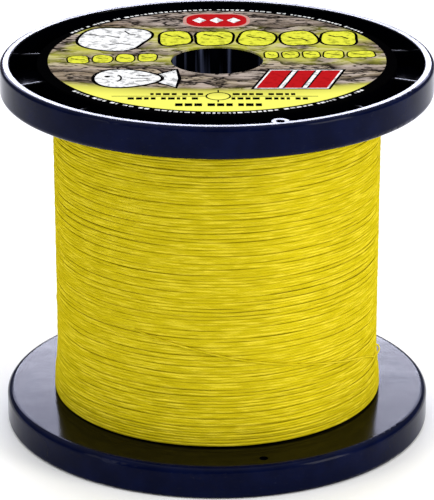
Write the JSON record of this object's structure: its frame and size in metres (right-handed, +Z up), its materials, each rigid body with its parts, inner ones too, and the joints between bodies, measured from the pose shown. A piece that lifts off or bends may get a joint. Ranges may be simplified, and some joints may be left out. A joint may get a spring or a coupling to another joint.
{
  "type": "fishing line spool",
  "caption": "Flanged plastic spool of yellow braided fishing line, with a bore for an arbor, a recessed label on each face and a line hole in each rim.",
  "frame": {"origin": "middle of the face that the spool stands on, on the bore's axis", "axes": "+Z up along the bore's axis; +X to the right as the spool is seen from the front, -Y towards the viewer"},
  "size_m": [0.075, 0.075, 0.066],
  "materials": {
    "flange_plastic": "glossy injection-moulded, navy black",
    "core_plastic": "satin injection-moulded, navy black",
    "top_label_print": "printed and varnished card",
    "bottom_label_print": "printed and varnished card",
    "braided_line": "waxy round braid"
  },
  "bodies": {
    "root": {"upper_flange": "flange_plastic", "lower_flange": "flange_plastic", "core_tube": "core_plastic", "top_label": "top_label_print", "bottom_label": "bottom_label_print", "line_winding": "braided_line", "line_end_turn": "braided_line", "line_start_knot": "braided_line"}
  },
  "joints": []
}
